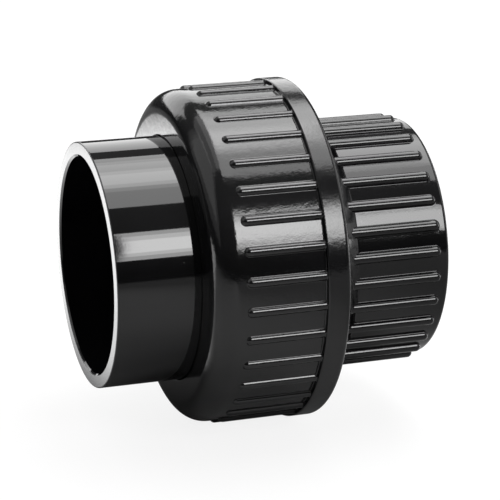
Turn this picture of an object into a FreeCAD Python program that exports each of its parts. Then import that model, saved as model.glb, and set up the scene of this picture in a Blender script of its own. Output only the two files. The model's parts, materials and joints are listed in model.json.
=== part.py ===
import FreeCAD, Part
import math
import os
import Sketcher

# Pipe union for 50 mm solvent-cement pipe, in plastic.
#
# Frame: millimetres. X is the pipe axis, Z is up. The origin is the centre of the bush's
# socket mouth, and the tail points to -X. Stations are measured along the axis from the
# tail's open end, so every piece is placed one overall length back from the origin.
#
# Four pieces: the tail with its collar, the nut that pulls on the collar, the threaded bush
# and the ring that seals the two faces.

# ---- Driving dimensions -------------------------------------------------------------------

SIZES = {
    # sockets that take the pipe
    "socket_radius": 25.10,
    "socket_depth": 31.0,
    "passage_radius": 23.6,
    "socket_lead": 0.45,
    # tail
    "tail_radius": 28.40,
    "tail_rim_round": 0.3,
    "collar_radius": 31.20,
    "collar_back": 26.50,
    "collar_chamfer": 0.6,
    "seal_face": 34.50,
    # nut
    "nut_front": 19.20,
    "nut_radius": 38.80,
    "nose_round": 5.50,
    "mouth_radius": 28.48,
    "mouth_round": 0.35,
    "nut_shoulder": 26.45,
    "collar_room_radius": 31.60,
    "relief_width": 2.60,
    "relief_radius": 33.15,
    "flange_front": 44.65,
    "flange_radius": 40.00,
    "flange_rear": 50.20,
    "flange_round": 1.30,
    "flange_edge": 0.25,
    "nut_entry": 0.9,
    "nut_rib_count": 36,
    "nut_rib_phase": 3.4,
    "nut_rib_radius": 1.16,
    "nut_rib_centre": 38.42,
    "nut_rib_tip": 26.20,
    # thread, G 2 1/4 form
    "thread_pitch": 2.309,
    "thread_crest": 32.80,
    "thread_root": 31.38,
    "thread_flank": 27.5,
    "thread_play": 0.14,
    "nut_thread_crest": 31.50,
    "nut_thread_root": 32.95,
    # bush
    "bush_face": 34.55,
    "bush_entry": 0.8,
    "thread_end": 48.00,
    "neck_radius": 31.20,
    "neck_start": 48.60,
    "neck_shoulder": 52.40,
    "neck_end": 56.30,
    "bush_radius": 28.30,
    "bush_end": 78.70,
    "bush_end_round": 1.10,
    "bush_rib_count": 30,
    "bush_rib_phase": 3.7,
    "bush_rib_radius": 1.22,
    "bush_rib_centre": 28.36,
    "bush_rib_start": 51.00,
    "bush_rib_tip": 76.30,
    # ring and its groove in the bush's face
    "groove_inner": 25.30,
    "groove_outer": 29.30,
    "groove_bottom": 37.40,
    "ring_inner": 25.35,
    "ring_outer": 29.20,
    "ring_round": 1.20,
}


def groove_half_width(radius):
    """Half the width of a thread groove at this radius: half a pitch wide at mid height."""
    middle = (SIZES["thread_crest"] + SIZES["thread_root"]) / 2
    slope = math.tan(math.radians(SIZES["thread_flank"]))
    return SIZES["thread_pitch"] / 4 + SIZES["thread_play"] / 2 + (radius - middle) * slope


# The bush's groove is cut from outside its crest down to its root. The nut's groove is the
# same form turned over, cut from inside its crest out to its root.
middle_radius = (SIZES["thread_crest"] + SIZES["thread_root"]) / 2
SIZES["bush_cut_outer"] = SIZES["thread_crest"] + 0.3
SIZES["bush_cut_mouth"] = groove_half_width(SIZES["bush_cut_outer"])
SIZES["bush_cut_floor"] = groove_half_width(SIZES["thread_root"])
SIZES["nut_cut_inner"] = SIZES["nut_thread_crest"] - 0.3
SIZES["nut_cut_mouth"] = groove_half_width(2 * middle_radius - SIZES["nut_cut_inner"])
SIZES["nut_cut_floor"] = groove_half_width(2 * middle_radius - SIZES["nut_thread_root"])

# Both grooves start clear of the solid and end clear of it. The nut's groove stands half a
# pitch from the bush's, so the ridges of one lie in the grooves of the other, and it starts
# in the middle of the nut's relief.
SIZES["bush_cut_start"] = SIZES["bush_face"] - SIZES["thread_pitch"]
SIZES["bush_cut_length"] = SIZES["neck_start"] + 1.3 - SIZES["bush_cut_start"]
SIZES["nut_cut_start"] = SIZES["bush_cut_start"] + 1.5 * SIZES["thread_pitch"]
SIZES["nut_cut_length"] = SIZES["flange_rear"] + SIZES["thread_pitch"] - SIZES["nut_cut_start"]
SIZES["relief_start"] = SIZES["nut_cut_start"] - SIZES["relief_width"] / 2
SIZES["relief_end"] = SIZES["nut_cut_start"] + SIZES["relief_width"] / 2

# ---- Document and sheet -------------------------------------------------------------------

doc = FreeCAD.newDocument("pipe_union")
sheet = doc.addObject("Spreadsheet::Sheet", "dims")
for row, (alias, value) in enumerate(SIZES.items(), start=1):
    sheet.set(f"A{row}", alias)
    sheet.set(f"B{row}", str(round(value, 5)))
    sheet.setAlias(f"B{row}", alias)
doc.recompute()


# ---- Helpers ------------------------------------------------------------------------------

def value_of(text):
    """The number that a sum of sheet names stands for, such as 'neck_end - mouth_round'."""
    total = 0.0
    sign = 1.0
    for word in text.split():
        if word in "+-":
            sign = 1.0 if word == "+" else -1.0
        elif word in SIZES:
            total += sign * SIZES[word]
        else:
            total += sign * float(word)
    return total


def expression_of(text):
    """The same sum as an expression that reads the sheet."""
    return " ".join(f"dims.{word}" if word in SIZES else word for word in text.split())


def origin_feature(body, role):
    return next(item for item in body.Origin.OriginFeatures if item.Role == role)


def new_body(name):
    body = doc.addObject("PartDesign::Body", name)
    body.Label = name
    body.setExpression("Placement.Base.x", "-dims.bush_end")
    return body


def new_sketch(body, name, turn=""):
    """A sketch on the axial plane, turned about the pipe axis by the angle named in the sheet."""
    sketch = body.newObject("Sketcher::SketchObject", name)
    sketch.AttachmentSupport = [(origin_feature(body, "XY_Plane"), "")]
    sketch.MapMode = "FlatFace"
    if turn:
        sketch.AttachmentOffset = FreeCAD.Placement(FreeCAD.Vector(), FreeCAD.Vector(1, 0, 0), SIZES[turn])
        sketch.setExpression("AttachmentOffset.Rotation.Angle", f"dims.{turn} * 1 deg")
    return sketch


def fix_point(sketch, geometry, end, station, radius):
    """Hold a point at a station along the axis and a radius from it, both read from the sheet."""
    for axis_line, kind, text in ((-2, "DistanceX", station), (-1, "DistanceY", radius)):
        value = value_of(text)
        if abs(value) < 1e-9:
            sketch.addConstraint(Sketcher.Constraint("PointOnObject", geometry, end, axis_line))
            continue
        index = sketch.addConstraint(Sketcher.Constraint(kind, geometry, end, value))
        sketch.setExpression(f"Constraints[{index}]", expression_of(text))


def outline(sketch, corners):
    """A closed outline through corners given as (station, radius) in names of the sheet."""
    points = [FreeCAD.Vector(value_of(station), value_of(radius), 0) for station, radius in corners]
    for number, point in enumerate(points):
        following = points[(number + 1) % len(points)]
        sketch.addGeometry(Part.LineSegment(point, following), False)
    for number, (station, radius) in enumerate(corners):
        fix_point(sketch, number, 1, station, radius)
        following = (number + 1) % len(points)
        sketch.addConstraint(Sketcher.Constraint("Coincident", number, 2, following, 1))


def revolve(body, sketch):
    """Turn an outline once about the pipe axis."""
    feature = body.newObject("PartDesign::Revolution", f"{sketch.Name}_turned")
    feature.Profile = sketch
    feature.ReferenceAxis = (sketch, ["H_Axis"])
    feature.Angle = 360.0
    body.Tip = feature
    doc.recompute()


def round_edges(body, wanted):
    """Names of the tip's full circles at the wanted (station, radius) places."""
    names = []
    for number, edge in enumerate(body.Tip.Shape.Edges, start=1):
        if not isinstance(edge.Curve, Part.Circle) or not edge.isClosed():
            continue
        station = edge.Curve.Center.x
        for text_station, text_radius in wanted:
            near = abs(station - value_of(text_station)) < 1e-4
            if near and abs(edge.Curve.Radius - value_of(text_radius)) < 1e-4:
                names.append(f"Edge{number}")
    if len(names) != len(wanted):
        raise RuntimeError(f"{body.Label}: found {len(names)} of {len(wanted)} edges")
    return names


def dress(body, kind, size, wanted):
    """A fillet or chamfer of the named size on the circles at the wanted places."""
    base = body.Tip
    names = round_edges(body, wanted)
    feature = body.newObject(f"PartDesign::{kind}", f"{body.Label}_{size}")
    feature.Base = (base, names)
    quantity = "Radius" if kind == "Fillet" else "Size"
    feature.setExpression(quantity, f"dims.{size}")
    body.Tip = feature
    doc.recompute()


def cut_thread(body, name, start, floor_radius, floor_half, mouth_radius, mouth_half, length):
    """Cut a right-hand helical groove whose form is a trapezium centred on the start station."""
    sketch = new_sketch(body, f"{name}_form")
    outline(sketch, [
        (f"{start} - {floor_half}", floor_radius),
        (f"{start} + {floor_half}", floor_radius),
        (f"{start} + {mouth_half}", mouth_radius),
        (f"{start} - {mouth_half}", mouth_radius),
    ])
    before = body.Tip.Shape.Volume
    helix = body.newObject("PartDesign::SubtractiveHelix", name)
    helix.Profile = sketch
    helix.ReferenceAxis = (origin_feature(body, "X_Axis"), [""])
    helix.Mode = 0
    helix.Pitch = SIZES["thread_pitch"]
    helix.Height = SIZES[length]
    helix.setExpression("Pitch", "dims.thread_pitch")
    helix.setExpression("Height", f"dims.{length}")
    helix.LeftHanded = False
    helix.Reversed = False
    body.Tip = helix
    doc.recompute()
    if helix.Shape.Volume > before - 100:
        raise RuntimeError(f"{name} cut nothing")


def add_ribs(body, name, start, tip, tip_sign, centre, radius, phase, count):
    """Half-sunk round ribs along the axis, each ending in a rounded tip, set round the body."""
    sketch = new_sketch(body, f"{name}_outline", phase)
    first = FreeCAD.Vector(value_of(start), value_of(centre), 0)
    last = FreeCAD.Vector(value_of(tip), value_of(centre), 0)
    ball = FreeCAD.Vector(last.x - tip_sign * value_of(radius), last.y, 0)
    side = FreeCAD.Vector(0, value_of(radius), 0)
    sweep = (math.pi / 2, math.pi) if tip_sign < 0 else (0.0, math.pi / 2)
    circle = Part.Circle(ball, FreeCAD.Vector(0, 0, 1), value_of(radius))
    sketch.addGeometry(Part.LineSegment(last, first), False)
    sketch.addGeometry(Part.LineSegment(first, first + side), False)
    sketch.addGeometry(Part.LineSegment(first + side, ball + side), False)
    sketch.addGeometry(Part.ArcOfCircle(circle, *sweep), False)
    arc_side, arc_tip = (1, 2) if tip_sign < 0 else (2, 1)
    fix_point(sketch, 0, 2, start, centre)
    fix_point(sketch, 1, 2, start, f"{centre} + {radius}")
    inward = "-" if tip_sign > 0 else "+"
    fix_point(sketch, 3, 3, f"{tip} {inward} {radius}", centre)
    for constraint in (
        ("Coincident", 0, 2, 1, 1),
        ("Coincident", 1, 2, 2, 1),
        ("Coincident", 2, 2, 3, arc_side),
        ("Coincident", 3, arc_tip, 0, 1),
        ("Horizontal", 0),
        ("Horizontal", 2),
        ("Vertical", 2, 2, 3, 3),
    ):
        sketch.addConstraint(Sketcher.Constraint(*constraint))
    rib = body.newObject("PartDesign::Revolution", name)
    rib.Profile = sketch
    rib.ReferenceAxis = (sketch, ["Edge1"])
    rib.Angle = 360.0
    body.Tip = rib
    doc.recompute()
    one_rib = rib.Shape.Volume
    ring = body.newObject("PartDesign::PolarPattern", f"{name}_ring")
    ring.Originals = [rib]
    ring.Axis = (origin_feature(body, "X_Axis"), [""])
    ring.Angle = 360.0
    ring.Occurrences = SIZES[count]
    ring.setExpression("Occurrences", f"dims.{count}")
    body.Tip = ring
    doc.recompute()
    if ring.Shape.Volume < one_rib + 1:
        raise RuntimeError(f"{name} was not repeated")


# ---- Tail ---------------------------------------------------------------------------------

def make_tail():
    """The plain socket that the pipe is cemented into, with the collar behind the nut."""
    body = new_body("socket_tail")
    sketch = new_sketch(body, "tail_section")
    outline(sketch, [
        ("0", "socket_radius"),
        ("0", "tail_radius"),
        ("collar_back", "tail_radius"),
        ("collar_back", "collar_radius"),
        ("seal_face", "collar_radius"),
        ("seal_face", "passage_radius"),
        ("socket_depth", "passage_radius"),
        ("socket_depth", "socket_radius"),
    ])
    revolve(body, sketch)
    dress(body, "Chamfer", "socket_lead", [("0", "socket_radius")])
    dress(body, "Fillet", "tail_rim_round", [("0", "tail_radius")])
    dress(body, "Chamfer", "collar_chamfer", [
        ("collar_back", "collar_radius"),
        ("seal_face", "collar_radius"),
    ])
    return body


# ---- Nut ----------------------------------------------------------------------------------

def make_nut():
    """The coupling nut: round nose, grip ribs, rear flange and internal thread."""
    body = new_body("union_nut")
    sketch = new_sketch(body, "nut_section")
    outline(sketch, [
        ("nut_front", "mouth_radius"),
        ("nut_front", "nut_radius"),
        ("flange_front", "nut_radius"),
        ("flange_front", "flange_radius"),
        ("flange_rear", "flange_radius"),
        ("flange_rear", "nut_thread_crest"),
        ("relief_end", "nut_thread_crest"),
        ("relief_end", "relief_radius"),
        ("relief_start", "relief_radius"),
        ("relief_start", "collar_room_radius"),
        ("nut_shoulder", "collar_room_radius"),
        ("nut_shoulder", "mouth_radius"),
    ])
    revolve(body, sketch)
    dress(body, "Fillet", "nose_round", [("nut_front", "nut_radius")])
    dress(body, "Fillet", "mouth_round", [("nut_front", "mouth_radius")])
    dress(body, "Fillet", "flange_round", [("flange_rear", "flange_radius")])
    dress(body, "Chamfer", "flange_edge", [("flange_front", "flange_radius")])
    dress(body, "Chamfer", "nut_entry", [("flange_rear", "nut_thread_crest")])
    cut_thread(body, "nut_thread", "nut_cut_start", "nut_thread_root", "nut_cut_floor",
               "nut_cut_inner", "nut_cut_mouth", "nut_cut_length")
    add_ribs(body, "nut_rib", "flange_front + 1", "nut_rib_tip", -1, "nut_rib_centre",
             "nut_rib_radius", "nut_rib_phase", "nut_rib_count")
    return body


# ---- Bush ---------------------------------------------------------------------------------

def make_bush():
    """The threaded bush: sealing face with its groove, thread, neck and ribbed socket."""
    body = new_body("threaded_body")
    sketch = new_sketch(body, "bush_section")
    outline(sketch, [
        ("bush_face", "passage_radius"),
        ("bush_face", "groove_inner"),
        ("groove_bottom", "groove_inner"),
        ("groove_bottom", "groove_outer"),
        ("bush_face", "groove_outer"),
        ("bush_face", "thread_crest"),
        ("thread_end", "thread_crest"),
        ("neck_start", "neck_radius"),
        ("neck_shoulder", "neck_radius"),
        ("neck_end", "bush_radius"),
        ("bush_end", "bush_radius"),
        ("bush_end", "socket_radius"),
        ("bush_end - socket_depth", "socket_radius"),
        ("bush_end - socket_depth", "passage_radius"),
    ])
    revolve(body, sketch)
    dress(body, "Chamfer", "bush_entry", [("bush_face", "thread_crest")])
    dress(body, "Fillet", "bush_end_round", [("bush_end", "bush_radius")])
    dress(body, "Chamfer", "socket_lead", [("bush_end", "socket_radius")])
    cut_thread(body, "bush_thread", "bush_cut_start", "thread_root", "bush_cut_floor",
               "bush_cut_outer", "bush_cut_mouth", "bush_cut_length")
    add_ribs(body, "bush_rib", "bush_rib_start", "bush_rib_tip", 1, "bush_rib_centre",
             "bush_rib_radius", "bush_rib_phase", "bush_rib_count")
    return body


# ---- Ring ---------------------------------------------------------------------------------

def make_ring():
    """The sealing ring as it lies squeezed between the groove's floor and the tail's face."""
    body = new_body("o_ring")
    sketch = new_sketch(body, "ring_section")
    outline(sketch, [
        ("seal_face", "ring_inner"),
        ("seal_face", "ring_outer"),
        ("groove_bottom", "ring_outer"),
        ("groove_bottom", "ring_inner"),
    ])
    revolve(body, sketch)
    dress(body, "Fillet", "ring_round", [
        ("seal_face", "ring_inner"),
        ("seal_face", "ring_outer"),
        ("groove_bottom", "ring_inner"),
        ("groove_bottom", "ring_outer"),
    ])
    return body


# ---- Build, check and write ---------------------------------------------------------------

pieces = [make_tail(), make_nut(), make_bush(), make_ring()]
doc.recompute()

for item in doc.Objects:
    if "Invalid" in item.State or "Error" in item.State:
        raise RuntimeError(f"{item.Label} did not build: {item.State}")

os.makedirs("parts", exist_ok=True)
for piece in pieces:
    shape = piece.Shape
    if shape.isNull() or not shape.isValid() or len(shape.Solids) != 1:
        raise RuntimeError(f"{piece.Label} is not one valid solid")
    print(f"{piece.Label}: {shape.Volume / 1000:.2f} cm3, {len(shape.Faces)} faces")
    shape.exportStep(f"parts/{piece.Label}.step")
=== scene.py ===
import json
import math

import bpy
import numpy as np
from mathutils import Matrix, Vector


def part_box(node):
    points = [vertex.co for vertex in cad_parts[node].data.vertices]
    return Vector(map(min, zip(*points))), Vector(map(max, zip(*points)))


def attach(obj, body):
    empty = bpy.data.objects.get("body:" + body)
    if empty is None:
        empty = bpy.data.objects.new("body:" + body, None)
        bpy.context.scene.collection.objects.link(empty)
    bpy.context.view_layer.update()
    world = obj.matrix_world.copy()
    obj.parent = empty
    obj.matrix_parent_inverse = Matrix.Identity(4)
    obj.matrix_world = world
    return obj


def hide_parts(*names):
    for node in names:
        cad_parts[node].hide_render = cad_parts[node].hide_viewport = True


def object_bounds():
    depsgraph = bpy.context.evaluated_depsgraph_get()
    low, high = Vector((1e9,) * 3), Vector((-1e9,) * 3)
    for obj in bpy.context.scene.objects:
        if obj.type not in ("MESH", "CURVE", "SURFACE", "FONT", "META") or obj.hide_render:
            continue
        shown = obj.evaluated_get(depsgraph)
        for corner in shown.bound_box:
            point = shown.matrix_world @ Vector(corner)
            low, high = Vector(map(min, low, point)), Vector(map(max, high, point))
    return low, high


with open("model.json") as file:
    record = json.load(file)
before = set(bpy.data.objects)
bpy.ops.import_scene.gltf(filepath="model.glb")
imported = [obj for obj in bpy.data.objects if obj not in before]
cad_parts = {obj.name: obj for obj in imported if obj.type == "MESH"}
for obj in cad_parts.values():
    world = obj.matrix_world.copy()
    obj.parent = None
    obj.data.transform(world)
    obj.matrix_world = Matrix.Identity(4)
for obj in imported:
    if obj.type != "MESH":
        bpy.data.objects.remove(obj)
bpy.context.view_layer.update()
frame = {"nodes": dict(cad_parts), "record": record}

# A plastic pipe union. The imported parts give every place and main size. The four pieces are
# built again here as fine skins, with rounded edges, filleted ribs and smooth threads, and
# each stands for the CAD node of the same name.
#
# Metres. X is the pipe axis with the tail at -X, Z is up, and the photograph is taken from
# the -Y side. Angles round the pipe are about +X, from +Y.

MM = 0.001
TINY = 0.02 * MM

# ---- Sizes read from the frame ------------------------------------------------------------


def cad_points(node, start, end):
    """Radii of a CAD node's points that lie between two stations."""
    points = np.array([vertex.co for vertex in frame["nodes"][node].data.vertices])
    inside = (points[:, 0] > start - TINY) & (points[:, 0] < end + TINY)
    return np.hypot(points[inside, 1], points[inside, 2])


def widest(node, start, end):
    return float(cad_points(node, start, end).max())


def narrowest(node, start, end):
    return float(cad_points(node, start, end).min())


def stations(node):
    low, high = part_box(node)
    return low.x, high.x


tail_end, seal_face = stations("socket_tail")
nut_front, nut_rear = stations("union_nut")
bush_face, bush_end = stations("threaded_body")
ring_front, ring_back = stations("o_ring")

sockets = {mount["name"]: mount["dims"] for mount in frame["record"]["mounts"]}
socket_radius = sockets["tail_socket"]["r_mm"] * MM
socket_depth = sockets["tail_socket"]["length_mm"] * MM

tail_radius = widest("socket_tail", tail_end, tail_end + 5 * MM)
collar_radius = widest("socket_tail", tail_end, seal_face)
passage_radius = narrowest("socket_tail", tail_end, seal_face)
flange_radius = widest("union_nut", nut_front, nut_rear)
bush_radius = widest("threaded_body", bush_end - 1.2 * MM, bush_end)
thread_crest = widest("threaded_body", bush_face, bush_end)
ring_outer = widest("o_ring", ring_front, ring_back)
ring_inner = narrowest("o_ring", ring_front, ring_back)

# ---- Detail sizes -------------------------------------------------------------------------

SOCKET_LEAD = 0.45 * MM
RIM_ROUND = 0.3 * MM
COLLAR_LENGTH = 8.0 * MM
COLLAR_CHAMFER = 0.6 * MM
COLLAR_FILLET = 0.05 * MM

NOSE_ROUND = 5.5 * MM
MOUTH_ROUND = 0.35 * MM
SHOULDER_DEPTH = 7.25 * MM
COLLAR_ROOM = 31.6 * MM
RELIEF_RADIUS = 33.15 * MM
RELIEF_WIDTH = 2.6 * MM
FLANGE_WIDTH = 5.55 * MM
FLANGE_ROUND = 1.3 * MM
FLANGE_EDGE = 0.25 * MM
FLANGE_FOOT = 0.3 * MM
NUT_ENTRY = 0.9 * MM
NUT_THREAD_CREST = 31.5 * MM
NUT_THREAD_ROOT = 32.95 * MM

NUT_RIB_COUNT = 36
NUT_RIB_PHASE = math.radians(3.4)
NUT_RIB_RADIUS = 1.16 * MM
NUT_RIB_SUNK = 0.38 * MM
NUT_RIB_TIP = 7.0 * MM

THREAD_PITCH = 2.309 * MM
THREAD_ROOT = 31.38 * MM
THREAD_FLANK = math.radians(27.5)
THREAD_PLAY = 0.14 * MM
BUSH_ENTRY = 0.8 * MM

THREAD_RUNOUT = 0.6 * MM
NECK_RADIUS = 31.2 * MM
NECK_START = 30.1 * MM
NECK_SHOULDER = 26.3 * MM
NECK_END = 22.4 * MM
BUSH_END_ROUND = 1.1 * MM
GROOVE_INNER = 25.3 * MM
GROOVE_OUTER = 29.3 * MM

BUSH_RIB_COUNT = 30
BUSH_RIB_PHASE = math.radians(3.7)
BUSH_RIB_RADIUS = 1.22 * MM
BUSH_RIB_SUNK = -0.06 * MM
BUSH_RIB_TIP = 2.4 * MM

RIB_FOOT = 0.2 * MM
RIB_MARGIN = 0.15 * MM
EDGE_RING = 0.3 * MM
PANEL_COLUMNS = 4
PLAIN_COLUMNS = 240
SHARP_ANGLE = math.radians(38)

bush_groove = bush_face - THREAD_PITCH
nut_groove = bush_groove + 1.5 * THREAD_PITCH
nut_radius = widest("union_nut", nut_front, nut_front + NOSE_ROUND)
mouth_radius = narrowest("union_nut", nut_front, nut_front + SHOULDER_DEPTH)
flange_front = nut_rear - FLANGE_WIDTH

# ---- Skins made of rings ------------------------------------------------------------------


class Skin:
    """The closed skin of a turned piece: rings of points round the pipe, joined in turn."""

    def __init__(self, angles):
        self.angles = np.asarray(angles)
        self.points = []
        self.faces = []

    def ring(self, station, radius, angles=None):
        """A ring of points. Station and radius are one number or one for each angle."""
        angles = self.angles if angles is None else np.asarray(angles)
        first = len(self.points)
        station, radius, angles = np.broadcast_arrays(station, radius, angles)
        self.points += zip(station, radius * np.cos(angles), radius * np.sin(angles))
        return np.arange(first, first + len(angles))

    def rings(self, outline, angles=None):
        return [self.ring(station, radius, angles) for station, radius in outline]

    def join(self, one, other):
        """Four-sided faces between two rings with the same number of points."""
        for a, b, c, d in zip(one, np.roll(one, -1), np.roll(other, -1), other):
            self.faces.append((a, b, c, d))

    def join_coarser(self, fine, coarse, shared):
        """Faces between a fine ring and a coarse one that holds only its shared places."""
        ends = list(shared[1:]) + [shared[0] + len(fine)]
        for number, (start, end) in enumerate(zip(shared, ends)):
            run = [fine[place % len(fine)] for place in range(start, end + 1)]
            following = coarse[(number + 1) % len(coarse)]
            self.faces.append((*run, following, coarse[number]))

    def chain(self, rings):
        for one, other in zip(rings, rings[1:]):
            self.join(one, other)

    def make(self, name):
        """The mesh object, with smooth shading broken only at real edges."""
        mesh = bpy.data.meshes.new(name)
        faces = [tuple(int(corner) for corner in face) for face in self.faces]
        points = [tuple(float(value) for value in point) for point in self.points]
        mesh.from_pydata(points, [], faces)
        mesh.validate()
        piece = bpy.data.objects.new(name, mesh)
        bpy.context.scene.collection.objects.link(piece)
        bpy.context.view_layer.objects.active = piece
        piece.select_set(True)
        bpy.ops.object.mode_set(mode="EDIT")
        bpy.ops.mesh.select_all(action="SELECT")
        bpy.ops.mesh.delete_loose()
        bpy.ops.mesh.select_all(action="SELECT")
        bpy.ops.mesh.normals_make_consistent(inside=False)
        bpy.ops.object.mode_set(mode="OBJECT")
        piece.select_set(False)
        mesh.polygons.foreach_set("use_smooth", [True] * len(mesh.polygons))
        mesh.set_sharp_from_angle(angle=SHARP_ANGLE)
        even = piece.modifiers.new("large_faces_lead", "WEIGHTED_NORMAL")
        even.keep_sharp = True
        even.weight = 60
        return piece


def arc(station, radius, size, start, end, steps):
    """Points of a round edge, as (station, radius). Its angles are from +X towards outside."""
    turns = np.radians(np.linspace(start, end, steps + 1))
    return [(station + size * math.cos(turn), radius + size * math.sin(turn)) for turn in turns]


def full_circle(count):
    return np.arange(count) * math.tau / count


# ---- Ribs ---------------------------------------------------------------------------------


def rib_section(radius, sunk, foot, top_steps=8, foot_steps=3):
    """Half of a rib's section from its crest out past its foot, as (sideways, height)."""
    foot_side = math.sqrt((radius + foot) ** 2 - (foot + sunk) ** 2)
    low = math.atan2(foot + sunk, foot_side)
    top = [(radius * math.cos(a), radius * math.sin(a) - sunk)
           for a in np.linspace(math.pi / 2, low, top_steps + 1)]
    fillet = [(foot_side + foot * math.cos(a), foot + foot * math.sin(a))
              for a in np.linspace(math.pi + low, 1.5 * math.pi, foot_steps + 1)]
    return np.array(top + fillet[1:] + [(foot_side + RIB_MARGIN, 0.0)])


class Ribs:
    """Ribs round a cylinder. Columns of points follow each rib's section and the panel
    beside it, and each rib ends in a round tip whose points lie on circles."""

    def __init__(self, count, phase, base, section):
        self.base = base
        self.section = section
        reach = len(section) - 1
        half_pitch = math.pi / count * base
        steps = np.arange(-reach, reach + 1)
        side = np.sign(steps) * section[np.abs(steps), 0]
        gap = 2 * (half_pitch - section[-1, 0])
        panel = section[-1, 0] + gap * np.arange(1, PANEL_COLUMNS + 1) / (PANEL_COLUMNS + 1)
        self.steps = np.tile(np.concatenate([steps, np.full(PANEL_COLUMNS, reach + 1)]), count)
        self.side = np.tile(np.concatenate([side, panel]), count)
        per_rib = len(steps) + PANEL_COLUMNS
        self.centres = np.repeat(phase + full_circle(count), per_rib)
        self.on_rib = self.steps <= reach
        self.angles = self.centres + self.side / base
        crest_and_panel = [reach] + list(range(2 * reach + 1, per_rib))
        self.shared = [rib * per_rib + place for rib in range(count) for place in crest_and_panel]
        self.coarse_angles = self.angles[self.shared]
        self.rise = np.where(self.on_rib, section[np.minimum(np.abs(self.steps), reach), 1], 0.0)

    def tip_ring(self, skin, centre, towards, row):
        """One ring through the round tips. Row 0 passes through their centres."""
        reach = len(self.section) - 1
        across = np.abs(self.steps)
        level = np.minimum(np.maximum(across, row), reach)
        share = np.minimum(across, row) / np.maximum(level, 1)
        turn = share * math.pi / 4
        far = self.section[level, 0]
        on_flank = across >= row
        along = np.where(on_flank, far * np.sin(turn), far * np.cos(turn))
        sideways = np.where(on_flank, far * np.cos(turn), far * np.sin(turn)) * np.sign(self.steps)
        along = np.where(self.on_rib, along, self.section[row, 0])
        sideways = np.where(self.on_rib, sideways, self.side)
        height = np.where(self.on_rib, self.section[level, 1], 0.0)
        return skin.ring(centre + towards * along, self.base + height,
                         self.centres + sideways / self.base)


def blend_up(one, other, width):
    """The larger of two heights, with a soft corner of about this width."""
    mix = np.clip(0.5 + 0.5 * (one - other) / width, 0, 1)
    return other + (one - other) * mix + width * mix * (1 - mix) / 2


# ---- Threads ------------------------------------------------------------------------------


def thread_form(crest, root, inside):
    """One pitch of thread from the middle of a groove, as (share of a pitch, radius), with
    rounded crests and roots. Inside threads have their grooves outside."""
    middle = (thread_crest + THREAD_ROOT) / 2
    slope = math.tan(THREAD_FLANK)

    def half_groove(radius):
        height = (2 * middle - radius if inside else radius) - middle
        return (THREAD_PITCH / 4 + THREAD_PLAY / 2 + height * slope) / THREAD_PITCH

    soft = 0.13
    floor, lip = half_groove(root), half_groove(crest)
    depth = crest - root
    rise = lip - floor
    half = [
        (0.0, root),
        (floor - soft * rise, root),
        (floor + soft * rise, root + 0.35 * soft * depth),
        (floor + 2.2 * soft * rise, root + 2.2 * soft * depth),
        (lip - 2.2 * soft * rise, crest - 2.2 * soft * depth),
        (lip - soft * rise, crest - 0.35 * soft * depth),
        (lip + soft * rise, crest),
    ]
    return np.array(half + [(0.5, crest)] + [(1 - share, radius) for share, radius in half[:0:-1]])


def thread_rows(skin, angles, start, end, groove, form, trim):
    """Rows of points, each a turn long, that wind along a right-hand thread between two
    stations, and the rings that they begin and end on. Trim takes stations and radii and
    gives the radii left."""
    def radius_at(station):
        share = ((station - groove) / THREAD_PITCH - angles / math.tau) % 1.0
        around = np.append(form[:, 0], 1.0)
        return trim(station, np.interp(share, around, np.append(form[:, 1], form[0, 1])))

    first = skin.ring(start, radius_at(start), angles)
    last = skin.ring(end, radius_at(end), angles)
    turns = range(math.floor((start - groove) / THREAD_PITCH) - 2,
                  math.ceil((end - groove) / THREAD_PITCH) + 2)
    rows = []
    for turn in turns:
        for share, _ in form:
            station = groove + THREAD_PITCH * (turn + share + angles / math.tau)
            row = skin.ring(station, radius_at(station), angles)
            row = np.where(station < start + TINY, first, row)
            rows.append(np.where(station > end - TINY, last, row))
    return rows, first, last


def thread_rings(skin, angles, start, end, groove, form, trim):
    """Faces along a thread, whose rows end where the rows of its next turn begin. Returns
    the first and last ring."""
    rows, first, last = thread_rows(skin, angles, start, end, groove, form, trim)
    rows_a_turn = len(form)
    for number in range(len(rows) - 1):
        for place in range(len(angles)):
            a, d = rows[number][place], rows[number + 1][place]
            if place + 1 < len(angles):
                b, c = rows[number][place + 1], rows[number + 1][place + 1]
            elif number + 1 + rows_a_turn < len(rows):
                b, c = rows[number + rows_a_turn][0], rows[number + 1 + rows_a_turn][0]
            else:
                continue
            corners = list(dict.fromkeys([a, b, c, d]))
            if len(corners) > 2:
                skin.faces.append(tuple(corners))
    return first, last


# ---- Pieces -------------------------------------------------------------------------------


def make_tail():
    """The plain socket with its rounded rim and the collar that the nut pulls on."""
    collar_back = seal_face - COLLAR_LENGTH
    socket_floor = tail_end + socket_depth
    rim = tail_radius - RIM_ROUND
    skin = Skin(full_circle(PLAIN_COLUMNS))
    outline = [
        (tail_end + SOCKET_LEAD, socket_radius),
        (tail_end, socket_radius + SOCKET_LEAD),
        *arc(tail_end + RIM_ROUND, rim, RIM_ROUND, 180, 90, 5),
        (collar_back - 1.0 * MM, tail_radius),
        *arc(collar_back - COLLAR_FILLET, tail_radius + COLLAR_FILLET, COLLAR_FILLET, 270, 360, 4),
        (collar_back, collar_radius - COLLAR_CHAMFER),
        (collar_back + COLLAR_CHAMFER, collar_radius),
        (seal_face - COLLAR_CHAMFER, collar_radius),
        (seal_face, collar_radius - COLLAR_CHAMFER),
        (seal_face, passage_radius + RIM_ROUND),
        (seal_face - RIM_ROUND, passage_radius),
        (socket_floor, passage_radius),
        (socket_floor, socket_radius),
    ]
    rings = skin.rings(outline)
    skin.chain(rings + rings[:1])
    return skin.make("socket_tail_skin")


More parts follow.
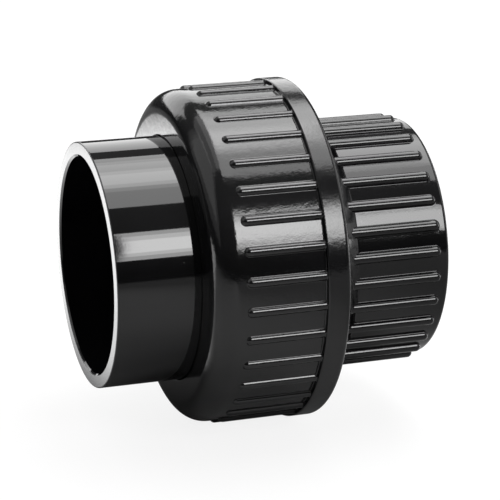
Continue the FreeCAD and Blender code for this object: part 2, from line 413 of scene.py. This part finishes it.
def nut_outside(skin, ribs):
    """Rings over the nut from its front face to its rear face."""
    tip_centre = nut_front + NUT_RIB_TIP + NUT_RIB_RADIUS
    foot = flange_front - FLANGE_FOOT
    surface = nut_radius + ribs.rise
    rings = skin.rings(arc(nut_front + NOSE_ROUND, nut_radius - NOSE_ROUND, NOSE_ROUND,
                           180, 90, 18))
    rings.append(skin.ring(nut_front + NOSE_ROUND + EDGE_RING, nut_radius))
    for row in range(len(ribs.section) - 1, -1, -1):
        rings.append(ribs.tip_ring(skin, tip_centre, -1, row))
    for share in (0.02, 0.35, 0.7, 1.0):
        rings.append(skin.ring(tip_centre + share * (foot - tip_centre), surface))

    edge = flange_radius - FLANGE_EDGE
    flat = flange_front + FLANGE_EDGE
    for station, lift in arc(foot, FLANGE_FOOT, FLANGE_FOOT, 290, 360, 4):
        rings.append(skin.ring(station, np.minimum(surface + lift, edge - 0.05 * MM)))
    rings += skin.rings(arc(flat, edge, FLANGE_EDGE, 180, 90, 4))
    rings += skin.rings([(flat + EDGE_RING, flange_radius), (flat + 2.0 * MM, flange_radius)])
    rings += skin.rings(arc(nut_rear - FLANGE_ROUND, flange_radius - FLANGE_ROUND, FLANGE_ROUND,
                            90, 0, 12))
    return rings


def nut_inside(skin, coarse, mouth_ring):
    """Rings from the nut's rear face through its thread and collar room to its mouth, and
    the ring where the thread meets the rear face."""
    relief_end = nut_groove + RELIEF_WIDTH / 2
    relief_start = nut_groove - RELIEF_WIDTH / 2
    shoulder = nut_front + SHOULDER_DEPTH
    form = thread_form(NUT_THREAD_CREST, NUT_THREAD_ROOT, True)

    def trim(station, radius):
        return np.maximum(radius, NUT_THREAD_CREST + NUT_ENTRY - (nut_rear - station))

    inner, outer = thread_rings(skin, coarse, relief_end, nut_rear, nut_groove, form, trim)
    rings = [inner] + skin.rings([
        (relief_end, RELIEF_RADIUS),
        (relief_start, RELIEF_RADIUS),
        (relief_start, COLLAR_ROOM),
        (shoulder, COLLAR_ROOM),
        (shoulder, mouth_radius),
    ], coarse) + [mouth_ring]
    return rings, outer


def make_nut():
    """The coupling nut, from its mouth over the nose, ribs and flange, and back inside."""
    ribs = Ribs(NUT_RIB_COUNT, NUT_RIB_PHASE, nut_radius,
                rib_section(NUT_RIB_RADIUS, NUT_RIB_SUNK, RIB_FOOT))
    skin = Skin(ribs.angles)
    coarse = ribs.coarse_angles
    mouth = skin.rings(arc(nut_front + MOUTH_ROUND, mouth_radius + MOUTH_ROUND, MOUTH_ROUND,
                           270, 180, 4), coarse)
    outside = nut_outside(skin, ribs)
    inside, thread_end = nut_inside(skin, coarse, mouth[0])
    skin.join_coarser(outside[0], mouth[-1], ribs.shared)
    skin.join_coarser(outside[-1], thread_end, ribs.shared)
    skin.chain(outside)
    skin.chain(inside)
    skin.chain(mouth)
    return skin.make("union_nut_skin")


def bush_outside(skin, ribs):
    """Rings over the bush from its end face to the start of its neck."""
    tip_centre = bush_end - BUSH_RIB_TIP - BUSH_RIB_RADIUS
    shoulder = bush_end - NECK_SHOULDER
    neck_end = bush_end - NECK_END
    surface = bush_radius + ribs.rise

    def cone(station):
        share = np.clip((neck_end - station) / (neck_end - shoulder), 0, 1)
        return bush_radius + (NECK_RADIUS - bush_radius) * share

    rings = skin.rings(arc(bush_end - BUSH_END_ROUND, bush_radius - BUSH_END_ROUND,
                           BUSH_END_ROUND, 0, 90, 12))
    rings.append(skin.ring(bush_end - BUSH_END_ROUND - 0.2 * MM, bush_radius))
    for row in range(len(ribs.section) - 1, -1, -1):
        rings.append(ribs.tip_ring(skin, tip_centre, 1, row))
    for share in (0.02, 0.3, 0.6, 0.98):
        rings.append(skin.ring(tip_centre + share * (neck_end - tip_centre), surface))
    for share in np.linspace(0, 1, 25):
        station = neck_end + share * (shoulder - neck_end)
        rings.append(skin.ring(station, blend_up(cone(station), surface, 0.12 * MM)))
    rings.append(skin.ring(shoulder - 0.25 * MM, NECK_RADIUS))
    return rings


def bush_inside(skin, coarse):
    """Rings from the bush's neck over its thread, face and groove and through its water way
    to its socket's mouth, and the ring where the thread meets the neck."""
    neck_start = bush_end - NECK_START
    crest_end = neck_start - THREAD_RUNOUT
    socket_floor = bush_end - socket_depth
    form = thread_form(thread_crest, THREAD_ROOT, False)

    def trim(station, radius):
        entry = thread_crest - BUSH_ENTRY + (station - bush_face)
        runout = thread_crest - (thread_crest - NECK_RADIUS) * (station - crest_end) / THREAD_RUNOUT
        return np.minimum(radius, np.minimum(entry, runout))

    inner, outer = thread_rings(skin, coarse, bush_face, neck_start, bush_groove, form, trim)
    rings = [inner] + skin.rings([
        (bush_face, GROOVE_OUTER),
        (ring_back, GROOVE_OUTER),
        (ring_back, GROOVE_INNER),
        (bush_face, GROOVE_INNER),
        (bush_face, passage_radius + RIM_ROUND),
        (bush_face + RIM_ROUND, passage_radius),
        (socket_floor, passage_radius),
        (socket_floor, socket_radius),
        (bush_end - SOCKET_LEAD, socket_radius),
        (bush_end, socket_radius + SOCKET_LEAD),
    ], coarse)
    return rings, outer


def make_bush():
    """The threaded bush, from its socket over the ribs, neck and thread to its face."""
    ribs = Ribs(BUSH_RIB_COUNT, BUSH_RIB_PHASE, bush_radius,
                rib_section(BUSH_RIB_RADIUS, BUSH_RIB_SUNK, RIB_FOOT))
    skin = Skin(ribs.angles)
    outside = bush_outside(skin, ribs)
    inside, thread_end = bush_inside(skin, ribs.coarse_angles)
    skin.join_coarser(outside[0], inside[-1], ribs.shared)
    skin.join_coarser(outside[-1], thread_end, ribs.shared)
    skin.chain(outside)
    skin.chain(inside)
    return skin.make("threaded_body_skin")


def make_ring():
    """The rubber ring, squeezed to an even oval between its groove and the tail's face."""
    middle = (ring_front + ring_back) / 2
    centre = (ring_inner + ring_outer) / 2
    skin = Skin(full_circle(PLAIN_COLUMNS))
    outline = []
    for turn in full_circle(28):
        across, out = math.cos(turn), math.sin(turn)
        outline.append((
            middle + (ring_back - ring_front) / 2 * math.copysign(abs(across) ** 0.75, across),
            centre + (ring_outer - ring_inner) / 2 * math.copysign(abs(out) ** 0.75, out),
        ))
    rings = skin.rings(outline)
    skin.chain(rings + rings[:1])
    return skin.make("o_ring_skin")


# ---- Materials ----------------------------------------------------------------------------

TAIL_BLACK = ((0.0018, 0.0018, 0.002), (0.0035, 0.0035, 0.004))
NUT_BLACK = ((0.002, 0.002, 0.0022), (0.004, 0.004, 0.0045))
BUSH_BLACK = TAIL_BLACK
DUST = (0.22, 0.22, 0.21)
CUT_FACE = (0.12, 0.12, 0.125)
PLASTIC_IOR = 1.52

CLOUD_SIZE = 14 * MM
SMEAR_SIZE = 5 * MM
DUST_SPACING = 2.4 * MM
DUST_PATCHES = 3.1 * MM
PEEL_SIZE = 1.6 * MM
GRAIN_SIZE = 0.42 * MM
PIT_SIZE = 0.6 * MM
PIT_DEPTH = 0.015 * MM
SAW_SIZE = 0.7 * MM
SAW_DEPTH = 0.01 * MM
PIT_DULLNESS = 0.05
CUT_DULLNESS = 0.16


class Shader:
    """A material's node tree, with short calls that add a node and return its output."""

    def __init__(self, name):
        self.material = bpy.data.materials.new(name)
        self.material.use_nodes = True
        self.tree = self.material.node_tree
        self.surface = next(n for n in self.tree.nodes if n.type == "BSDF_PRINCIPLED")
        self.place = self.add("ShaderNodeTexCoord").outputs["Object"]

    def add(self, kind, **settings):
        node = self.tree.nodes.new(kind)
        for key, value in settings.items():
            setattr(node, key, value)
        return node

    def feed(self, socket, value):
        if isinstance(value, bpy.types.NodeSocket):
            self.tree.links.new(value, socket)
        else:
            socket.default_value = value

    def math(self, operation, one, other=0.0):
        node = self.add("ShaderNodeMath", operation=operation)
        for socket, value in zip(node.inputs, (one, other)):
            self.feed(socket, value)
        return node.outputs[0]

    def noise(self, size, detail=2.0, stretch=None, rough=0.5):
        """Noise whose blobs are about this size in metres. Stretch scales X, Y and Z."""
        node = self.add("ShaderNodeTexNoise")
        place = self.place
        if stretch:
            mapping = self.add("ShaderNodeMapping")
            mapping.inputs["Scale"].default_value = stretch
            self.feed(mapping.inputs["Vector"], place)
            place = mapping.outputs[0]
        self.feed(node.inputs["Vector"], place)
        node.inputs["Scale"].default_value = 1 / size
        node.inputs["Detail"].default_value = detail
        node.inputs["Roughness"].default_value = rough
        return node.outputs["Fac"]

    def spread(self, value, low, high, out_low, out_high):
        """Value mapped smoothly from one range to another."""
        node = self.add("ShaderNodeMapRange", interpolation_type="SMOOTHSTEP")
        for socket, number in zip(node.inputs, (value, low, high, out_low, out_high)):
            self.feed(socket, number)
        return node.outputs[0]

    def mix(self, share, one, other):
        node = self.add("ShaderNodeMix", data_type="RGBA")
        self.feed(node.inputs["Factor"], share)
        for key, colour in (("A", one), ("B", other)):
            socket = next(s for s in node.inputs if s.name == key and s.type == "RGBA")
            if isinstance(colour, tuple):
                colour = (*colour, 1.0)
            self.feed(socket, colour)
        return next(s for s in node.outputs if s.type == "RGBA")

    def bump(self, height, depth, under=None):
        """Relief this many metres deep, over another relief."""
        node = self.add("ShaderNodeBump")
        node.inputs["Distance"].default_value = 1.0
        node.inputs["Strength"].default_value = 1.0
        self.feed(node.inputs["Height"], self.math("MULTIPLY", height, depth))
        if under is not None:
            self.feed(node.inputs["Normal"], under)
        return node.outputs[0]

    def along_pipe(self):
        """Station and radius of the shaded point."""
        parts = self.add("ShaderNodeSeparateXYZ")
        self.feed(parts.inputs[0], self.place)
        x, y, z = parts.outputs
        square = self.math("ADD", self.math("MULTIPLY", y, y), self.math("MULTIPLY", z, z))
        return x, self.math("SQRT", square)


def band(shader, value, low, high, soft):
    """One between two values and nought outside them, with soft ends."""
    rising = shader.spread(value, low - soft, low + soft, 0.0, 1.0)
    falling = shader.spread(value, high - soft, high + soft, 1.0, 0.0)
    return shader.math("MULTIPLY", rising, falling)


def dusty(shader, colour):
    """The colour with a few pale dust specks, in patches."""
    dots = shader.add("ShaderNodeTexVoronoi")
    shader.feed(dots.inputs["Vector"], shader.place)
    dots.inputs["Scale"].default_value = 1 / DUST_SPACING
    speck = shader.spread(dots.outputs["Distance"], 0.03, 0.05, 1.0, 0.0)
    chance = shader.spread(shader.noise(DUST_PATCHES, 0), 0.63, 0.66, 0.0, 1.0)
    speck = shader.math("MULTIPLY", speck, chance)
    return shader.mix(shader.math("MULTIPLY", speck, 0.5), colour, DUST)


def moulded_plastic(name, blacks, roughness, peel, grain, rough_zone=None, face_zone=None):
    """Black moulded plastic: slow changes between two blacks and in gloss, the ripple of a
    polished mould, a fine grain and dust. A zone is a function of the shader that gives a
    mask: rough_zone is spark-eroded, and face_zone is a dull cut face."""
    shader = Shader(name)
    surface = shader.surface
    cloud = shader.noise(CLOUD_SIZE, 3)
    smear = shader.noise(SMEAR_SIZE, 4, stretch=(0.35, 1.0, 1.0))
    colour = dusty(shader, shader.mix(shader.spread(cloud, 0.3, 0.7, 0.0, 1.0), *blacks))
    gloss = shader.spread(smear, 0.25, 0.75, roughness * 0.82, roughness * 1.2)
    relief = shader.bump(shader.noise(PEEL_SIZE, 2), peel)
    relief = shader.bump(shader.noise(GRAIN_SIZE, 2), grain, relief)
    if rough_zone:
        mask = rough_zone(shader)
        pits = shader.math("MULTIPLY", shader.noise(PIT_SIZE, 3, rough=0.6), mask)
        relief = shader.bump(pits, PIT_DEPTH, relief)
        gloss = shader.math("ADD", gloss, shader.math("MULTIPLY", mask, PIT_DULLNESS))
    if face_zone:
        mask = face_zone(shader)
        lines = shader.noise(SAW_SIZE, 3, stretch=(1.0, 1.0, 0.12))
        relief = shader.bump(shader.math("MULTIPLY", lines, mask), SAW_DEPTH, relief)
        gloss = shader.math("ADD", gloss, shader.math("MULTIPLY", mask, CUT_DULLNESS))
        colour = shader.mix(shader.math("MULTIPLY", mask, 0.6), colour, CUT_FACE)
    shader.feed(surface.inputs["Base Color"], colour)
    shader.feed(surface.inputs["Roughness"], gloss)
    shader.feed(surface.inputs["Normal"], relief)
    surface.inputs["IOR"].default_value = PLASTIC_IOR
    return shader.material


def tail_face(shader):
    """The tail's open end and its lead chamfer."""
    station, _ = shader.along_pipe()
    return band(shader, station, tail_end - 1 * MM, tail_end + 0.15 * MM, 0.08 * MM)


def flange_band(shader):
    """The outside of the nut's flange."""
    station, radius = shader.along_pipe()
    on_flange = band(shader, station, flange_front, nut_rear + 1 * MM, 0.1 * MM)
    outside = shader.spread(radius, flange_radius - 2 * MM, flange_radius - 1 * MM, 0.0, 1.0)
    return shader.math("MULTIPLY", on_flange, outside)


def rubber(name):
    """Matte black rubber with a fine grain and a slight bloom."""
    shader = Shader(name)
    grain = shader.noise(0.5 * MM, 4)
    bloom = shader.noise(4 * MM, 3)
    shade = shader.spread(bloom, 0.35, 0.75, 0.0, 1.0)
    shader.feed(shader.surface.inputs["Base Color"],
                shader.mix(shade, (0.014, 0.014, 0.014), (0.03, 0.03, 0.029)))
    shader.feed(shader.surface.inputs["Roughness"], shader.spread(bloom, 0.3, 0.7, 0.42, 0.6))
    shader.feed(shader.surface.inputs["Normal"], shader.bump(grain, 8e-6))
    return shader.material


# ---- Stage --------------------------------------------------------------------------------

FLOOR_SIZE = 8.0
SHEET_SHADE = 0.5
SHEET_GLOW = 0.86
PATCH_GLOW = 2.6


def painted_sheet_shade(shader, x, y):
    """Painted shade on the mirrored sheet: darker in front to the right and far behind, with a
    painted shadow beneath the tail."""
    # Painted shade: the mirrored sheet is darkened in front to the right and far behind.
    front = shader.spread(y, -0.03, 0.01, 1.0, 0.0)
    right = shader.spread(x, -0.045, 0.03, 0.0, 1.0)
    dimmer = shader.math("MULTIPLY", shader.math("MULTIPLY", front, right), 0.55)
    far = shader.spread(y, 0.18, 0.45, 0.0, 0.75)
    # Painted shadow on the mirrored sheet beneath the tail.
    under = shader.math("MULTIPLY", band(shader, y, -0.015, 0.09, 0.022),
                        shader.spread(x, -0.03, 0.02, 0.84, 0.0))
    shade = shader.math("SUBTRACT", shader.math("SUBTRACT", 1.0, dimmer), far)
    return shader.math("MULTIPLY", shade, shader.math("SUBTRACT", 1.0, under))


def painted_sheet_glow(shader, x, y):
    """Painted glow on the mirrored sheet: a bright patch behind the tail, which its end face
    mirrors, and another behind the bush."""
    tail_patch = shader.math("MULTIPLY", shader.spread(x, -0.10, -0.082, 1.0, 0.0),
                             band(shader, y, 0.01, 0.30, 0.04))
    bush_patch = shader.math("MULTIPLY", shader.spread(x, 0.0, 0.03, 0.0, 0.9),
                             band(shader, y, 0.015, 0.40, 0.03))
    return shader.math("MULTIPLY", shader.math("ADD", tail_patch, bush_patch), PATCH_GLOW)


def floor_finish():
    """A pale sheet. Seen directly it is evenly lit from below. What the plastic mirrors is the
    same sheet under the lamps, with painted shade, a painted shadow beneath the tail and
    painted glowing patches."""
    shader = Shader("pale_floor")
    parts = shader.add("ShaderNodeSeparateXYZ")
    shader.feed(parts.inputs[0], shader.place)
    x, y, _ = parts.outputs
    mirrored = shader.surface
    shade = painted_sheet_shade(shader, x, y)
    # The mirrored sheet's colour carries the painted shade and the painted shadow beneath the tail.
    shader.feed(mirrored.inputs["Base Color"],
                shader.mix(shade, (0.0, 0.0, 0.0), (SHEET_SHADE,) * 3))
    # Painted glow in patches on the mirrored sheet.
    shader.feed(mirrored.inputs["Emission Strength"], painted_sheet_glow(shader, x, y))
    mirrored.inputs["Specular IOR Level"].default_value = 0.2

    seen = shader.add("ShaderNodeBsdfPrincipled")
    cloud = shader.noise(0.3, 2)
    shader.feed(seen.inputs["Base Color"], shader.mix(cloud, (0.10,) * 3, (0.12,) * 3))
    seen.inputs["Emission Strength"].default_value = SHEET_GLOW
    for surface in (mirrored, seen):
        surface.inputs["Roughness"].default_value = 0.9
        surface.inputs["Emission Color"].default_value = (1, 1, 1, 1)

    path = shader.add("ShaderNodeLightPath")
    choice = shader.add("ShaderNodeMixShader")
    shader.feed(choice.inputs["Fac"], path.outputs["Is Camera Ray"])
    shader.feed(choice.inputs[1], mirrored.outputs[0])
    shader.feed(choice.inputs[2], seen.outputs[0])
    output = next(n for n in shader.tree.nodes if n.type == "OUTPUT_MATERIAL")
    shader.feed(output.inputs["Surface"], choice.outputs[0])
    return shader.material


def make_floor():
    """The sheet that the part lies on, level with its lowest point."""
    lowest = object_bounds()[0].z
    half = FLOOR_SIZE / 2
    square = ((-half, -half), (half, -half), (half, half), (-half, half))
    mesh = bpy.data.meshes.new("floor")
    mesh.from_pydata([(x, y, lowest) for x, y in square], [], [(0, 1, 2, 3)])
    floor = bpy.data.objects.new("floor", mesh)
    bpy.context.scene.collection.objects.link(floor)
    floor.data.materials.append(floor_finish())


def panel_light(name, size, radiance, axes, place):
    """A flat light of even brightness. It shines against its third axis."""
    lamp = bpy.data.lights.new(name, "AREA")
    lamp.shape = "RECTANGLE"
    lamp.size, lamp.size_y = size
    lamp.energy = radiance * math.pi * size[0] * size[1]
    light = bpy.data.objects.new(name, lamp)
    turned = Matrix(axes).transposed().to_4x4()
    turned.translation = place
    light.matrix_world = turned
    light.visible_camera = False
    bpy.context.scene.collection.objects.link(light)


def softbox(name, lean, spread, distance, across, radiance):
    """A soft light parallel to the pipe. Lean is its angle from straight above towards the
    front, spread the angle it covers, and across its two ends along the pipe."""
    lean = math.radians(lean)
    width = across[1] - across[0]
    height = 2 * distance * math.tan(math.radians(spread) / 2)
    outward = Vector((0, -math.sin(lean), math.cos(lean)))
    upward = Vector((0, math.cos(lean), math.sin(lean)))
    place = outward * distance + Vector((sum(across) / 2, 0, 0))
    panel_light(name, (width, height), radiance, (Vector((1, 0, 0)), upward, outward), place)


def side_panel(name, centre, size, radiance):
    """A dim upright panel beyond one end of the pipe, facing back along it."""
    side = math.copysign(1, centre[0])
    panel_light(name, size, radiance, ((0, side, 0), (0, 0, 1), (side, 0, 0)), Vector(centre))


def make_world(pale, low, high):
    """Dim surroundings, lighter overhead, with a plain pale backdrop where the camera looks
    past the floor."""
    world = bpy.data.worlds.new("studio")
    world.use_nodes = True
    bpy.context.scene.world = world
    tree = world.node_tree
    tree.nodes.clear()
    place = tree.nodes.new("ShaderNodeTexCoord")
    parts = tree.nodes.new("ShaderNodeSeparateXYZ")
    rise = tree.nodes.new("ShaderNodeMapRange")
    rise.inputs["From Min"].default_value = 0.1
    rise.inputs["From Max"].default_value = 0.9
    rise.inputs["To Min"].default_value = low
    rise.inputs["To Max"].default_value = high
    path = tree.nodes.new("ShaderNodeLightPath")
    room = tree.nodes.new("ShaderNodeBackground")
    backdrop = tree.nodes.new("ShaderNodeBackground")
    backdrop.inputs["Strength"].default_value = pale
    mix = tree.nodes.new("ShaderNodeMixShader")
    output = tree.nodes.new("ShaderNodeOutputWorld")
    tree.links.new(place.outputs["Generated"], parts.inputs[0])
    tree.links.new(parts.outputs["Z"], rise.inputs["Value"])
    tree.links.new(rise.outputs[0], room.inputs["Strength"])
    tree.links.new(path.outputs["Is Camera Ray"], mix.inputs["Fac"])
    tree.links.new(room.outputs[0], mix.inputs[1])
    tree.links.new(backdrop.outputs[0], mix.inputs[2])
    tree.links.new(mix.outputs[0], output.inputs["Surface"])
    for background in (room, backdrop):
        background.inputs["Color"].default_value = (1, 1, 1, 1)


def make_camera():
    """The photograph's viewpoint, in tail radii from the centre of the tail's open end."""
    data = bpy.data.cameras.new("camera")
    data.sensor_width = 36
    data.lens = 148.1
    camera = bpy.data.objects.new("camera", data)
    right = Vector((0.9477, -0.3190, 0.0)).normalized()
    back = Vector((-0.3057, -0.9080, 0.2870))
    back = (back - right * back.dot(right)).normalized()
    up = back.cross(right)
    turned = Matrix((right, up, back)).transposed().to_4x4()
    turned.translation = Vector((tail_end, 0, 0)) + Vector((-3.81, -15.49, 4.89)) * tail_radius
    camera.matrix_world = turned
    bpy.context.scene.collection.objects.link(camera)
    bpy.context.scene.camera = camera


# ---- Build --------------------------------------------------------------------------------

# Name, lean, spread, distance, ends along the pipe, radiance.
SOFTBOXES = (
    ("overhead", -7.5, 61, 0.90, (-0.02, 0.62), 3.4),
    ("overhead_middle", -13, 38, 0.91, (0.02, 0.50), 1.0),
    ("overhead_inner", -13, 30, 0.912, (0.02, 0.50), 1.0),
    ("overhead_core", -8, 20, 0.92, (0.05, 0.30), 1.3),
    ("overhead_peak", -8, 12, 0.922, (0.05, 0.30), 1.3),
    ("overhead_left", -7.5, 50, 0.94, (-0.25, -0.02), 0.7),
    ("overhead_fade", -7.5, 50, 0.95, (-0.60, -0.02), 0.6),
    ("front_strip", 60, 25, 1.00, (0.1705, 0.60), 6.5),
    ("front_middle", 60, 18, 1.01, (0.173, 0.55), 3.2),
    ("front_core", 60.5, 11, 1.02, (0.1755, 0.34), 3.4),
    ("back_panel", -66, 30, 0.95, (-0.60, 0.50), 2.2),
)

# Name, centre, width and height, radiance.
SIDE_PANELS = (
    ("left_panel", (-0.95, 0.15, 0.95), (1.3, 1.5), 0.3),
    ("left_upper", (-0.96, 0.15, 1.08), (1.0, 1.4), 0.45),
    ("right_panel", (1.05, 0.10, 0.40), (1.3, 1.1), 0.9),
)

# How each piece is made, the body it rides on, the CAD node it stands for, and its slot.
PIECES = (
    (make_tail, "tail", "socket_tail", "tail_plastic"),
    (make_nut, "nut", "union_nut", "nut_plastic"),
    (make_bush, "bush", "threaded_body", "bush_plastic"),
    (make_ring, "bush", "o_ring", "ring_rubber"),
)

finishes = {
    "tail_plastic": moulded_plastic("tail_plastic", TAIL_BLACK, roughness=0.042, peel=0.8e-6,
                                    grain=0.5e-6, face_zone=tail_face),
    "nut_plastic": moulded_plastic("nut_plastic", NUT_BLACK, roughness=0.10, peel=26e-6,
                                   grain=12e-6, rough_zone=flange_band),
    "bush_plastic": moulded_plastic("bush_plastic", BUSH_BLACK, roughness=0.08, peel=12e-6,
                                    grain=7e-6),
    "ring_rubber": rubber("ring_rubber"),
}

for make, body, node, slot in PIECES:
    piece = make()
    piece.data.materials.append(finishes[slot])
    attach(piece, body)
    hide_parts(node)

make_floor()
make_world(pale=0.95, low=0.05, high=0.22)
for values in SOFTBOXES:
    softbox(*values)
for values in SIDE_PANELS:
    side_panel(*values)
make_camera()

bpy.context.scene.view_settings.view_transform = "Standard"
